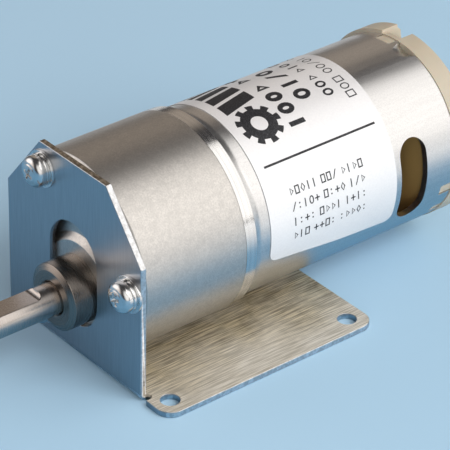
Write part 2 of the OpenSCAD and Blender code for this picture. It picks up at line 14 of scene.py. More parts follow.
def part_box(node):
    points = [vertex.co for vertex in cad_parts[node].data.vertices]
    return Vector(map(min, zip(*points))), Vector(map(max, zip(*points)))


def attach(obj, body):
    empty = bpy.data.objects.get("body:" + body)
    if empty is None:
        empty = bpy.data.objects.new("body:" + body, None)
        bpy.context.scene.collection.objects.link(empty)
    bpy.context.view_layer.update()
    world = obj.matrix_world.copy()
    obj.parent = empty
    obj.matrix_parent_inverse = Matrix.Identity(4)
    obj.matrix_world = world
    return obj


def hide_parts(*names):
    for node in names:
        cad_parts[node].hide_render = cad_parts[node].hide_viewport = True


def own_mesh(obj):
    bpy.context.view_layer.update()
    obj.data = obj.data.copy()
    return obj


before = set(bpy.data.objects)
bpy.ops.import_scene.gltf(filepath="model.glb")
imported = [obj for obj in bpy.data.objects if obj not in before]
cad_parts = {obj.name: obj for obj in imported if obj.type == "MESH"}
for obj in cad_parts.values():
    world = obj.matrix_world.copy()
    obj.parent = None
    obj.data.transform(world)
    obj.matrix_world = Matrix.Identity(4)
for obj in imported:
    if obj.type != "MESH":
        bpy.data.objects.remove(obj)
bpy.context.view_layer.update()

MM = 0.001

# Vertices closer than this are one: in a CAD mesh, and in a mesh made here
CAD_WELD = 0.001 * MM
FINE_WELD = 0.0001 * MM

# ---- Places taken from the frame --------------------------------------------------------


class Cylinder:
    """Axis, radius and extent along X of a round CAD node."""

    def __init__(self, node):
        low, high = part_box(node)
        self.y = (low.y + high.y) / 2
        self.z = (low.z + high.z) / 2
        self.r = (high.z - low.z) / 2
        self.front = high.x
        self.rear = low.x


can = Cylinder("motor_can")
label = Cylinder("motor_label")
bush = Cylinder("output_bush")
shaft = Cylinder("output_shaft")
bracket_low, bracket_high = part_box("mounting_bracket")
plate_front = bracket_high.x
motor_z = can.z


def solid_centres(node):
    """Centre of each separate solid of a CAD node."""
    mesh = bmesh.new()
    mesh.from_mesh(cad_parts[node].data)
    bmesh.ops.remove_doubles(mesh, verts=mesh.verts, dist=CAD_WELD)
    mesh.verts.ensure_lookup_table()
    seen = set()
    centres = []
    for start in mesh.verts:
        if start.index in seen:
            continue
        stack = [start]
        seen.add(start.index)
        points = []
        while stack:
            vert = stack.pop()
            points.append(vert.co.copy())
            for edge in vert.link_edges:
                other = edge.other_vert(vert)
                if other.index not in seen:
                    seen.add(other.index)
                    stack.append(other)
        low = Vector([min(p[i] for p in points) for i in range(3)])
        high = Vector([max(p[i] for p in points) for i in range(3)])
        centres.append((low + high) / 2)
    mesh.free()
    return centres


# ---- Mesh helpers -----------------------------------------------------------------------


def add_object(name, mesh):
    """A new object in the scene."""
    obj = bpy.data.objects.new(name, mesh)
    bpy.context.scene.collection.objects.link(obj)
    return obj


def new_mesh(name, verts, faces):
    """A mesh with welded vertices, whose faces look outwards."""
    mesh = bpy.data.meshes.new(name)
    mesh.from_pydata([tuple(v) for v in verts], [], faces)
    mesh.validate()
    shape = bmesh.new()
    shape.from_mesh(mesh)
    bmesh.ops.remove_doubles(shape, verts=shape.verts, dist=FINE_WELD)
    bmesh.ops.recalc_face_normals(shape, faces=shape.faces)
    shape.to_mesh(mesh)
    shape.free()
    return mesh


def new_piece(name, verts, faces, body, node=None):
    """A mesh piece that rides on a body and may stand for a CAD node."""
    obj = add_object(name, new_mesh(name, verts, faces))
    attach(obj, body)
    if node:
        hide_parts(node)
    return obj


def fillet(profile, radius):
    """Rounds the corners of an open (x, r) profile, leaving its two ends."""
    steps = 4
    most_of_side = 0.45
    points = [Vector(p) for p in profile]
    out = [points[0]]
    for before, corner, after in zip(points, points[1:], points[2:]):
        a, b = before - corner, after - corner
        reach = min(radius, a.length * most_of_side, b.length * most_of_side)
        p, q = corner + a.normalized() * reach, corner + b.normalized() * reach
        for i in range(steps + 1):
            t = i / steps
            out.append(p * (1 - t) ** 2 + corner * 2 * t * (1 - t) + q * t ** 2)
    out.append(points[-1])
    return out


def lathe(profile, y, z, segments=192):
    """Vertices and faces of a closed (x, r) profile turned about a line along X through (y, z).
    A profile that starts and ends on the line needs no face along it."""
    verts = []
    faces = []
    n = len(profile)
    for i in range(segments):
        a = 2 * math.pi * i / segments
        for x, r in profile:
            verts.append((x, y + r * math.cos(a), z + r * math.sin(a)))
    for i in range(segments):
        j = (i + 1) % segments
        for k in range(n):
            m = (k + 1) % n
            on_line = profile[k][1] == 0 and profile[m][1] == 0
            if not on_line:
                faces.append((i * n + k, j * n + k, j * n + m, i * n + m))
    return verts, faces


def smooth(obj, angle=35):
    """Smooth shading with edges sharper than an angle kept crisp."""
    mesh = obj.data
    mesh.polygons.foreach_set("use_smooth", [True] * len(mesh.polygons))
    mesh.set_sharp_from_angle(angle=math.radians(angle))
    return obj


def weigh_normals(obj):
    """Keeps large flat faces flat under smooth shading."""
    obj.modifiers.new("weighted", "WEIGHTED_NORMAL").keep_sharp = False


def bevel(obj, width, angle=35):
    """Rounds the edges of a piece that are sharper than an angle."""
    mod = obj.modifiers.new("bevel", "BEVEL")
    mod.width = width
    mod.segments = 2
    mod.limit_method = "ANGLE"
    mod.angle_limit = math.radians(angle)
    mod.miter_outer = "MITER_ARC"
    mod.use_clamp_overlap = True
    weigh_normals(obj)


def drop_cad_shading(mesh):
    """Removes the normals and sharp marks that came with a CAD mesh."""
    for name in ("custom_normal", "sharp_edge", "sharp_face"):
        if name in mesh.attributes:
            mesh.attributes.remove(mesh.attributes[name])


def dress(node, material, edge):
    """Gives a CAD node its material, clean faces and, unless edge is 0, rounded edges."""
    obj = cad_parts[node]
    mesh = obj.data
    drop_cad_shading(mesh)
    mesh.polygons.foreach_set("use_smooth", [True] * len(mesh.polygons))
    mesh.materials.clear()
    mesh.materials.append(material)
    obj.modifiers.new("weld", "WELD").merge_threshold = CAD_WELD
    if edge:
        flat = obj.modifiers.new("flat", "DECIMATE")
        flat.decimate_type = "DISSOLVE"
        flat.angle_limit = math.radians(0.4)
        bevel(obj, edge)
    else:
        weigh_normals(obj)


def cut(obj, cutter):
    """Subtracts a cutter from a piece and removes the cutter."""
    mod = obj.modifiers.new("cut", "BOOLEAN")
    mod.operation = "DIFFERENCE"
    mod.solver = "EXACT"
    mod.object = cutter
    bpy.context.view_layer.update()
    depsgraph = bpy.context.evaluated_depsgraph_get()
    done = bpy.data.meshes.new_from_object(obj.evaluated_get(depsgraph))
    obj.modifiers.clear()
    obj.data = done
    bpy.data.objects.remove(cutter)


def paint(obj, material):
    """Gives a new piece its material."""
    obj.data.materials.clear()
    obj.data.materials.append(material)


# ---- Material helpers -------------------------------------------------------------------


class Shader:
    """A material under construction: a Principled shader and short calls for its nodes."""

    def __init__(self, name, color, roughness, metallic=0.0, **extra):
        self.mat = bpy.data.materials.new(name)
        self.mat.use_nodes = True
        self.tree = self.mat.node_tree
        self.bsdf = self.tree.nodes["Principled BSDF"]
        self.set("Base Color", (*color, 1))
        self.set("Roughness", roughness)
        self.set("Metallic", metallic)
        for key, value in extra.items():
            self.set(key.replace("_", " "), value)

    def set(self, key, value):
        """Gives a Principled input a constant value."""
        self.bsdf.inputs[key].default_value = value

    def node(self, kind, inputs=None, **settings):
        """A new node. Each input is a value or another node's output."""
        made = self.tree.nodes.new(kind)
        for key, value in settings.items():
            setattr(made, key, value)
        for key, value in (inputs or {}).items():
            if hasattr(value, "is_output"):
                self.tree.links.new(value, made.inputs[key])
            else:
                made.inputs[key].default_value = value
        return made

    def link(self, source, key):
        """Feeds an output into a Principled input."""
        self.tree.links.new(source, self.bsdf.inputs[key])

    def math(self, operation, a, b=0.0, clamp=False):
        """The result of one sum or comparison; a comparison gives 0 or 1."""
        made = self.node("ShaderNodeMath", {0: a, 1: b}, operation=operation)
        made.use_clamp = clamp
        return made.outputs[0]

    def plus(self, a, b, clamp=False):
        return self.math("ADD", a, b, clamp)

    def times(self, a, b):
        return self.math("MULTIPLY", a, b)

    def place(self):
        """Position in the row frame at rest, so a pattern rides with its piece."""
        return self.node("ShaderNodeTexCoord").outputs["Object"]

    def split(self, vector):
        """X, Y and Z of a vector."""
        made = self.node("ShaderNodeSeparateXYZ", {0: vector})
        return made.outputs[0], made.outputs[1], made.outputs[2]

    def join(self, x, y, z):
        """A vector from X, Y and Z."""
        return self.node("ShaderNodeCombineXYZ", {0: x, 1: y, 2: z}).outputs[0]

    def noise(self, vector, scale, detail=3.0, rough=0.55):
        """Soft random pattern from 0 to 1, with about scale spots along each unit of vector."""
        made = self.node("ShaderNodeTexNoise", {"Vector": vector, "Scale": scale,
                         "Detail": detail, "Roughness": rough})
        return made.outputs["Fac"]

    def ramp(self, value, low, high, a=0.0, b=1.0):
        """Maps low..high of a value to a..b."""
        made = self.node("ShaderNodeMapRange", {"Value": value, "From Min": low,
                         "From Max": high, "To Min": a, "To Max": b})
        return made.outputs[0]

    def mix(self, fac, a, b):
        """Blends colour a to colour b."""
        made = self.node("ShaderNodeMix", data_type="RGBA")
        for key, value in ((0, fac), (6, a), (7, b)):
            if hasattr(value, "is_output"):
                self.tree.links.new(value, made.inputs[key])
            else:
                made.inputs[key].default_value = value if key == 0 else (*value, 1)
        return made.outputs[2]

    def bump(self, height, strength, distance):
        """Small relief, with the real height of its steps in metres."""
        made = self.node("ShaderNodeBump", {"Height": height, "Strength": strength,
                         "Distance": distance})
        self.link(made.outputs[0], "Normal")

    def radius(self, z):
        """X, and the distance from the line along X at Y zero and the given height."""
        px, py, pz = self.split(self.place())
        dz = self.math("SUBTRACT", pz, z)
        square = self.plus(self.times(py, py), self.times(dz, dz))
        return px, self.math("SQRT", square)


def shade(color, k):
    """A colour made lighter or darker."""
    return tuple(min(1.0, c * k) for c in color)


# A face belongs to the upright or the base plate when its normal has this share along X or Z,
# and to the base plate only below this height
SQUARE = 0.8
BASE_ZONE = 3 * MM


def sheet_zones(s, z):
    """Masks for the upright's faces, the base plate's faces and the sheared top edge, which is given
    painted shade.
    """
    normal = s.split(s.node("ShaderNodeNewGeometry").outputs["Normal"])
    on_front = s.math("GREATER_THAN", s.math("ABSOLUTE", normal[0]), SQUARE)
    level = s.math("GREATER_THAN", s.math("ABSOLUTE", normal[2]), SQUARE)
    on_base = s.times(level, s.math("LESS_THAN", z, BASE_ZONE))
    facing_up = s.math("GREATER_THAN", normal[2], 0.9)
    # Painted shade: marks the upward-facing sheared top edge for a darker colour
    painted_shade_top = s.times(facing_up, s.math("GREATER_THAN", z, BASE_ZONE))
    return on_front, on_base, painted_shade_top


def base_grain_and_painted_reflection(s, y, grain):
    """Warm grain streaks; a painted reflection makes the band beside the gearbox golden and darker and
    paler to both sides, with patches of painted shade there.
    """
    cloud = s.noise(s.place(), 75.0, 2.0)
    shifted = s.plus(y, s.times(cloud, 26 * MM))
    # Painted reflection: 0 in the golden, darker band beside the gearbox, 1 away from it
    outward = s.math("MAXIMUM", s.ramp(shifted, 20 * MM, 36 * MM),
                     s.ramp(shifted, 26 * MM, 14 * MM))
    # Painted reflection: the grain colours are golden and darker near the gearbox, paler away from it
    dark = s.mix(outward, (0.20, 0.155, 0.085), (0.62, 0.575, 0.49))
    light = s.mix(outward, (0.76, 0.64, 0.40), (0.92, 0.875, 0.79))
    clean = s.mix(s.ramp(grain, 0.43, 0.57), dark, light)
    # Painted shade: dark patches on the base plate beside the gearbox
    painted_shade_patches = s.ramp(s.noise(s.place(), 190.0, 3.0, 0.6), 0.5, 0.66)
    painted_shade_near_gearbox = s.times(painted_shade_patches, s.math("SUBTRACT", 1.0, outward))
    return s.mix(s.times(painted_shade_near_gearbox, 0.5), clean, (0.20, 0.17, 0.12))


def sheared_tone(s, painted_shade_top):
    """Bright sheared edges with worn spots; the top edge is coloured darker and browner as painted shade.
    """
    worn = s.ramp(s.noise(s.place(), 1100.0, 4.0, 0.7), 0.42, 0.6)
    bright = s.mix(worn, (0.66, 0.66, 0.66), (0.90, 0.91, 0.92))
    # Painted shade: the top edge's darker, browner colour, with worn spots
    painted_dark_top = s.mix(worn, (0.26, 0.23, 0.19), (0.62, 0.56, 0.47))
    return s.mix(painted_shade_top, bright, painted_dark_top)


def brushed_sheet():
    """Sheet brushed across before bending: strong streaks on the base plate with a painted golden
    reflection and painted shade beside the gearbox, a fine grain on the upright, and bright sheared edges,
    the top one darkened as painted shade."""
    s = Shader("brushed_sheet", (0.62, 0.63, 0.65), 0.3, 1.0)
    x, y, z = s.split(s.place())
    along = s.plus(x, z)
    fine = s.noise(s.join(s.times(y, 7200.0), s.times(along, 170.0), 0.0), 1.0, 3.0, 0.6)
    wide = s.noise(s.join(s.times(y, 3600.0), s.times(along, 120.0), 7.0), 1.0, 3.0)
    grain = s.plus(s.times(fine, 0.45), s.times(wide, 0.55))
    on_front, on_base, painted_shade_top = sheet_zones(s, z)
    front_tone = s.mix(s.ramp(grain, 0.35, 0.65), (0.50, 0.51, 0.53), (0.59, 0.60, 0.62))
    tone = s.mix(on_front, sheared_tone(s, painted_shade_top), front_tone)
    s.link(s.mix(on_base, tone, base_grain_and_painted_reflection(s, y, grain)), "Base Color")
    rough = s.plus(s.times(on_base, s.ramp(grain, 0.3, 0.7, 0.28, 0.16)), 0.36)
    s.link(s.math("SUBTRACT", rough, s.times(on_front, 0.08)), "Roughness")
    face = s.plus(s.times(on_front, 0.25), on_base, clamp=True)
    s.bump(s.times(grain, face), 0.45, 0.02 * MM)
    # The stretched highlight of brushing belongs to the faces, not to the sheared edges
    s.link(s.times(s.plus(on_front, on_base, clamp=True), 0.85), "Anisotropic")
    s.link(s.join(0.0, 1.0, 0.0), "Tangent")
    return s.mat


def blasted_metal(name, color, roughness, speckle=0.22 * MM, strength=0.35):
    """Light metal with the fine pits of casting and blasting."""
    s = Shader(name, color, roughness, 1.0)
    pits = s.noise(s.place(), 1 / speckle, 3.0, 0.6)
    mottle = s.noise(s.place(), 0.24 / speckle, 4.0, 0.65)
    cloud = s.noise(s.place(), 140.0, 3.0)
    tone = s.mix(s.ramp(pits, 0.38, 0.62), shade(color, 0.90), shade(color, 1.08))
    tone = s.mix(s.ramp(mottle, 0.40, 0.66, 0.0, 0.55), tone, shade(color, 0.80))
    tone = s.mix(s.ramp(cloud, 0.35, 0.65, 0.0, 0.3), tone, shade(color, 0.93))
    s.link(tone, "Base Color")
    s.link(s.ramp(pits, 0.3, 0.7, roughness + 0.07, roughness - 0.05), "Roughness")
    height = s.plus(s.times(pits, 0.75), s.times(mottle, 0.5))
    s.bump(height, strength, 0.03 * MM)
    return s.mat


def turned_metal(name, color, roughness, z, pitch=0.12 * MM, strength=0.25, rings_tone=0.12,
                 cloud=0.25):
    """Metal with the fine rings of a lathe round a line along X."""
    s = Shader(name, color, roughness, 1.0)
    x, r = s.radius(z)
    rings = s.noise(s.join(s.math("DIVIDE", x, pitch), s.math("DIVIDE", r, pitch), 0.0),
                    1.0, 2.0, 0.6)
    stain = s.noise(s.place(), 260.0, 3.0)
    tone = s.mix(s.ramp(rings, 0.3, 0.7), shade(color, 1 - rings_tone),
                 shade(color, 1 + rings_tone))
    tone = s.mix(s.ramp(stain, 0.4, 0.7, 0.0, cloud), tone, shade(color, 0.72))
    s.link(tone, "Base Color")
    s.link(s.ramp(rings, 0.3, 0.7, roughness - 0.04, roughness + 0.06), "Roughness")
    s.bump(rings, strength, 0.01 * MM)
    return s.mat


def plated_metal(name, color, roughness):
    """Bright plating with faint handling marks."""
    s = Shader(name, color, roughness, 1.0)
    marks = s.noise(s.place(), 900.0, 3.0)
    s.link(s.mix(s.ramp(marks, 0.35, 0.75), color, shade(color, 0.8)), "Base Color")
    s.link(s.ramp(marks, 0.3, 0.7, roughness - 0.03, roughness + 0.06), "Roughness")
    s.bump(marks, 0.08, 0.02 * MM)
    return s.mat


def satin_can():
    """Nickel-plated drawn steel: satin, with very fine pits and faint draw lines."""
    color = (0.80, 0.79, 0.775)
    s = Shader("satin_can", color, 0.31, 1.0)
    pits = s.noise(s.place(), 4200.0, 2.0, 0.5)
    x, y, z = s.split(s.place())
    drawn = s.join(s.times(x, 60.0), s.times(y, 1300.0), s.times(z, 1300.0))
    lines = s.noise(drawn, 1.0, 2.0)
    cloud = s.noise(s.place(), 90.0, 3.0)
    mark = s.plus(s.times(pits, 0.7), s.times(lines, 0.3))
    tone = s.mix(s.ramp(mark, 0.4, 0.6), shade(color, 0.92), shade(color, 1.06))
    s.link(s.mix(s.ramp(cloud, 0.35, 0.7, 0.0, 0.15), tone, shade(color, 0.88)), "Base Color")
    s.link(s.ramp(mark, 0.35, 0.65, 0.28, 0.35), "Roughness")
    s.bump(mark, 0.06, 0.02 * MM)
    return s.mat


def moulded(name, color, roughness, translucent=0.0):
    """Moulded plastic with a soft sheen and slight colour drift."""
    grain = 0.4 * MM
    s = Shader(name, color, roughness, 0.0, Subsurface_Weight=translucent,
               Subsurface_Scale=0.6 * MM)
    skin = s.noise(s.place(), 1 / grain, 2.0)
    drift = s.noise(s.place(), 130.0, 2.0)
    tone = s.mix(s.ramp(drift, 0.3, 0.7), shade(color, 0.93), shade(color, 1.05))
    s.link(tone, "Base Color")
    s.link(s.ramp(skin, 0.3, 0.7, roughness - 0.05, roughness + 0.08), "Roughness")
    s.bump(skin, 0.12, 0.03 * MM)
    return s.mat


def label_paper():
    """White coated paper, faintly uneven."""
    s = Shader("label_paper", (0.80, 0.80, 0.805), 0.4, 0.0, Coat_Weight=1.0,
               Coat_Roughness=0.33, Coat_IOR=2.2)
    fibre = s.noise(s.place(), 2600.0, 4.0, 0.7)
    wave = s.noise(s.place(), 150.0, 2.0)
    s.link(s.mix(s.ramp(fibre, 0.4, 0.6), (0.76, 0.745, 0.745), (0.80, 0.785, 0.78)), "Base Color")
    s.link(s.ramp(fibre, 0.3, 0.7, 0.38, 0.48), "Roughness")
    s.bump(s.plus(s.times(fibre, 0.15), wave), 0.12, 0.06 * MM)
    return s.mat


def ink():
    """Black print with a little of the paper's grain."""
    s = Shader("label_ink", (0.018, 0.018, 0.02), 0.5)
    grain = s.noise(s.place(), 3500.0, 2.0)
    s.link(s.mix(s.ramp(grain, 0.45, 0.65), (0.012, 0.012, 0.014), (0.04, 0.04, 0.045)),
           "Base Color")
    return s.mat


def wound_wire():
    """Enamelled copper wire: fine parallel turns along X."""
    s = Shader("wound_wire", (0.46, 0.2, 0.07), 0.3, 0.85)
    _, r = s.radius(motor_z)
    across = s.join(s.times(r, 2200.0), 0.0, 0.0)
    turns = s.node("ShaderNodeTexWave", {"Vector": across, "Scale": 1.0, "Distortion": 1.2,
                   "Detail": 1.0}, bands_direction="X").outputs["Fac"]
    s.link(s.mix(turns, (0.22, 0.09, 0.03), (0.62, 0.3, 0.12)), "Base Color")
    s.bump(turns, 0.6, 0.1 * MM)
    return s.mat


# ---- Materials --------------------------------------------------------------------------

sheet = brushed_sheet()
cast = blasted_metal("cast_case", (0.72, 0.69, 0.65), 0.40, 0.3 * MM, 0.24)
ring = turned_metal("turned_ring", (0.82, 0.81, 0.79), 0.17, motor_z, cloud=0.1)
plated = plated_metal("plated_steel", (0.88, 0.88, 0.87), 0.18)
# Painted reflection: the bush's turned steel is coloured dark warm brown to stand for the dark, warm
# surroundings it mirrors
dark_steel = turned_metal("dark_steel", (0.30, 0.265, 0.235), 0.27, bush.z, 0.12 * MM, 0.1,
                          0.05, 0.05)
shaft_steel = turned_metal("shaft_steel", (0.57, 0.52, 0.48), 0.24, shaft.z, 0.07 * MM, 0.06,
                           0.04)
inner_steel = turned_metal("inner_steel", (0.5, 0.49, 0.48), 0.28, motor_z)
gear_steel = turned_metal("gear_steel", (0.4, 0.4, 0.41), 0.32, motor_z)
bronze = blasted_metal("sintered_bronze", (0.52, 0.34, 0.17), 0.42, 0.15 * MM)
brass = plated_metal("cut_brass", (0.78, 0.58, 0.27), 0.25)
satin = satin_can()
paper = label_paper()
black_ink = ink()
ferrite = moulded("ferrite", (0.05, 0.05, 0.052), 0.6)
laminations = turned_metal("laminations", (0.3, 0.3, 0.31), 0.45, motor_z, 0.5 * MM)
copper = wound_wire()
commutator_copper = turned_metal("commutator_copper", (0.72, 0.38, 0.2), 0.3, motor_z)
phenolic = moulded("phenolic", (0.16, 0.07, 0.03), 0.5)
# Painted light: the board is coloured lighter and golden so the inside seen through the vents looks lit
board_painted_light = moulded("resin_board_painted_light", (0.52, 0.32, 0.11), 0.42)
cream = moulded("cream_plastic", (0.53, 0.465, 0.36), 0.4, translucent=0.15)
carbon = moulded("carbon", (0.03, 0.03, 0.03), 0.55)

# Material and edge radius of each CAD node that stays visible
NODE_LOOKS = {
    "gearbox_housing": (cast, 0.15 * MM),
    "gearbox_rear_plate": (ring, 0.12 * MM), "bearing_plate": (ring, 0.1 * MM),
    "output_rear_bush": (bronze, 0.1 * MM), "output_gear": (gear_steel, 0),
    "thrust_washers": (bronze, 0.05 * MM), "layshaft": (inner_steel, 0.15 * MM),
    "layshaft_gear": (gear_steel, 0), "layshaft_pinion": (gear_steel, 0),
    "layshaft_bushes": (bronze, 0.1 * MM), "motor_pinion": (brass, 0),
    "motor_screws": (plated, 0.06 * MM), "motor_can": (satin, 0.12 * MM),
    "field_magnets": (ferrite, 0.2 * MM), "magnet_clips": (inner_steel, 0.08 * MM),
    "motor_front_bush": (bronze, 0.1 * MM), "motor_rear_bush": (bronze, 0.1 * MM),
    "armature_shaft": (inner_steel, 0.1 * MM), "armature_core": (laminations, 0.08 * MM),
    "armature_windings": (copper, 0.3 * MM), "commutator_hub": (phenolic, 0.1 * MM),
    "commutator_segments": (commutator_copper, 0.06 * MM),
    "armature_spacers": (cream, 0.1 * MM), "end_cap": (cream, 0.16 * MM),
    "brush_plate": (board_painted_light, 0.08 * MM),
    # Board coloured lighter as painted light
    "brush_holders": (brass, 0.08 * MM), "upper_brush": (carbon, 0.08 * MM),
    "lower_brush": (carbon, 0.08 * MM), "motor_terminals": (brass, 0.08 * MM),
    "flat_washers": (plated, 0.07 * MM),
}
for node_name, (node_material, node_edge) in NODE_LOOKS.items():
    dress(node_name, node_material, node_edge)


# ---- Output bush and shaft --------------------------------------------------------------


def make_output_bush():
    """Turned bush: a spigot in the gearbox, and a larger body with a coned nose in front."""
    low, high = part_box("output_bush")
    spigot_r = 5 * MM
    bore = shaft.r + 0.03 * MM
    step_x = plate_front - 1.51 * MM
    nose_x = high.x - 0.6 * MM
    nose_r = bush.r - 1.1 * MM
    mouth = 0.35 * MM
    profile = fillet([(low.x, bore), (low.x, spigot_r), (step_x, spigot_r), (step_x, bush.r),
                      (nose_x, bush.r), (high.x, nose_r), (high.x, bore + mouth),
                      (high.x - mouth, bore), (low.x, bore)], 0.1 * MM)
    verts, faces = lathe(profile[:-1], bush.y, bush.z)
    obj = new_piece("output_bush_fine", verts, faces, "case", "output_bush")
    # Painted reflection: the bush's steel is coloured dark brown
    paint(smooth(obj), dark_steel)


def make_output_shaft():
    """Ground shaft with chamfered ends, whose flat runs out in a shallow cutter curve."""
    low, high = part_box("output_shaft")
    r = shaft.r
    flat_height = 2.2 * MM
    flat_from = high.x - 17 * MM
    run_out = 1.1 * MM
    chamfer = 0.5 * MM
    rear_chamfer = 0.3 * MM
    curve_steps = 10
    stations = [(low.x, r - rear_chamfer), (low.x + rear_chamfer, r), (flat_from - 0.3 * MM, r)]
    stations += [(flat_from + run_out * i / curve_steps, r) for i in range(curve_steps + 1)]
    stations += [(high.x - chamfer, r), (high.x - chamfer * 0.3, r - chamfer * 0.55),
                 (high.x, r - chamfer * 1.2)]
    segments = 180
    verts = []
    faces = []
    for x, radius in stations:
        t = min(1.0, max(0.0, (x - flat_from) / run_out))
        height = r + (flat_height - r) * math.sqrt(1 - (1 - t) ** 2)
        for i in range(segments):
            a = 2 * math.pi * i / segments
            z = min(radius * math.sin(a), height)
            verts.append((x, shaft.y + radius * math.cos(a), shaft.z + z))
    for k in range(len(stations) - 1):
        for i in range(segments):
            j = (i + 1) % segments
            faces.append((k * segments + i, k * segments + j,
                          (k + 1) * segments + j, (k + 1) * segments + i))
    faces.append(tuple(range(segments)))
    faces.append(tuple(range((len(stations) - 1) * segments, len(stations) * segments)))
    obj = new_piece("output_shaft_fine", verts, faces, "output", "output_shaft")
    paint(smooth(obj, 28), shaft_steel)


# ---- Bracket ----------------------------------------------------------------------------

EDGE_ROUND = 0.15 * MM
SHARP_ANGLE = 35

# Edges that stay sharp: those of the notches at the bend, and of the opening round the motor axis
BEND_TOP = 1.6 * MM
BEND_DEPTH = 1.85 * MM
NOTCH_SIDE = 20.75 * MM
OPENING_REACH = 12 * MM


def is_rounded(edge):
    """Whether a bracket edge is a sheared one with room to be rounded."""
    middle = (edge.verts[0].co + edge.verts[1].co) / 2
    in_front = middle.x > plate_front - BEND_DEPTH
    at_bend = in_front and middle.z < BEND_TOP and abs(middle.y) < NOTCH_SIDE
    at_opening = in_front and math.hypot(middle.y, middle.z - motor_z) < OPENING_REACH
    turn = edge.calc_face_angle(0) if len(edge.link_faces) == 2 else 0
    return turn > math.radians(SHARP_ANGLE) and not at_bend and not at_opening


def make_bracket():
    """The sheet bracket with its long sheared edges rounded."""
    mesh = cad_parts["mounting_bracket"].data.copy()
    mesh.name = "bracket_sheet"
    drop_cad_shading(mesh)
    shape = bmesh.new()
    shape.from_mesh(mesh)
    bmesh.ops.remove_doubles(shape, verts=shape.verts, dist=CAD_WELD)
    bmesh.ops.dissolve_limit(shape, angle_limit=math.radians(0.5), verts=shape.verts,
                             edges=shape.edges)
    bmesh.ops.bevel(shape, geom=[e for e in shape.edges if is_rounded(e)],
                    offset=EDGE_ROUND, offset_type="OFFSET", segments=3, profile=0.5,
                    affect="EDGES", clamp_overlap=False, miter_outer="ARC")
    shape.to_mesh(mesh)
    shape.free()
    obj = add_object("bracket_sheet", mesh)
    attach(obj, "case")
    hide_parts("mounting_bracket")
    paint(smooth(obj, 50), sheet)
    weigh_normals(obj)


# ---- Brush springs ----------------------------------------------------------------------

SPRING_WIRE = 0.2 * MM
SPRING_TURNS = 6


def make_brush_spring(node):
    """Coil spring with closed ends."""
    low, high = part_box(node)
    middle = (low + high) / 2
    wire = SPRING_WIRE
    coil = (high.x - low.x) / 2 - wire
    length = high.z - low.z
    steps = SPRING_TURNS * 32
    around = 10
    # 0 is an even pitch, and 1 has the end turns lying flat
    closing = 0.75
    verts = []
    for i in range(steps + 1):
        t = i / steps
        a = 2 * math.pi * SPRING_TURNS * t
        outward = Vector((math.cos(a), math.sin(a), 0))
        eased = t - closing * math.sin(2 * math.pi * t) / (2 * math.pi)
        place = Vector((middle.x, middle.y, low.z + wire + (length - 2 * wire) * eased))
        for k in range(around):
            b = 2 * math.pi * k / around
            verts.append(place + outward * (coil + wire * math.cos(b))
                         + Vector((0, 0, wire * math.sin(b))))
    faces = []
    for i in range(steps):
        for k in range(around):
            m = (k + 1) % around
            faces.append((i * around + k, i * around + m, (i + 1) * around + m,
                          (i + 1) * around + k))
    faces.append(tuple(reversed(range(around))))
    faces.append(tuple(range(steps * around, (steps + 1) * around)))
    obj = new_piece(f"{node}_coil", verts, faces, "case", node)
    paint(smooth(obj, 60), inner_steel)
    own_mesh(obj)


make_brush_spring("upper_brush_spring")
make_brush_spring("lower_brush_spring")
make_bracket()
make_output_bush()
make_output_shaft()


# ---- Screws and washers -----------------------------------------------------------------


def cross_cutter(name, top_x, y, z, turn):
    """Tapered cross for a screwdriver, opening along +X and turned about X by degrees."""
    width = 2.8 * MM
    depth = 0.9 * MM
    blade = 0.6 * MM
    above = 0.3 * MM
    rings = []
    for x, reach, half in ((top_x + above, width / 2, blade / 2),
                           (top_x - depth, width / 4, blade / 2.6)):
        corners = []
        for quarter in range(4):
            for p in ((reach, -half), (reach, half), (half, half)):
                corners.append(Matrix.Rotation(math.radians(90 * quarter + turn), 2) @ Vector(p))
        rings.append([(x, y + c.x, z + c.y) for c in corners])
    n = len(rings[0])
    faces = [tuple(range(n)), tuple(range(2 * n - 1, n - 1, -1))]
    faces += [(i, i + n, (i + 1) % n + n, (i + 1) % n) for i in range(n)]
    return add_object(name, new_mesh(name, rings[0] + rings[1], faces))


def screw_profile(tip, seat, top):
    """Half outline of a pan-head screw from the axis at its tip to the axis at its crown."""
    head_r = 2.9 * MM
    shank_r = 1.49 * MM
    seat_edge = 0.12 * MM
    crown = 0.25 * MM
    corner = 1.25 * MM
    side = top - crown - corner
    profile = [(tip, 0.0), (tip, shank_r - 0.2 * MM), (tip + 0.3 * MM, shank_r),
               (seat, shank_r), (seat, head_r - seat_edge), (seat + seat_edge, head_r)]
    profile += [(side + corner * math.sin(math.radians(a)),
                 head_r - corner * (1 - math.cos(math.radians(a)))) for a in range(0, 85, 7)]
    dome_x, dome_r = profile[-1]
    profile += [(dome_x + (top - dome_x) * math.sin(math.radians(a)),
                 dome_r * math.cos(math.radians(a))) for a in range(18, 90, 18)]
    return profile + [(top, 0.0)]


def make_case_screws():
    """Pan heads with a rounded rim, a low dome and a pressed cross."""
    low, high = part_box("case_screws")
    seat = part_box("spring_washers")[1].x
    profile = screw_profile(low.x, seat, high.x)
    for number, (centre, turn) in enumerate(zip(solid_centres("flat_washers"), (20, 65, 40)), 1):
        verts, faces = lathe(profile, centre.y, centre.z, 72)
        name = f"case_screw_{number}"
        obj = new_piece(name, verts, faces, "case", "case_screws")
        cut(obj, cross_cutter(f"{name}_cross", high.x, centre.y, centre.z, turn))
        paint(smooth(obj, 40), plated)
        bevel(obj, 0.06 * MM, 40)


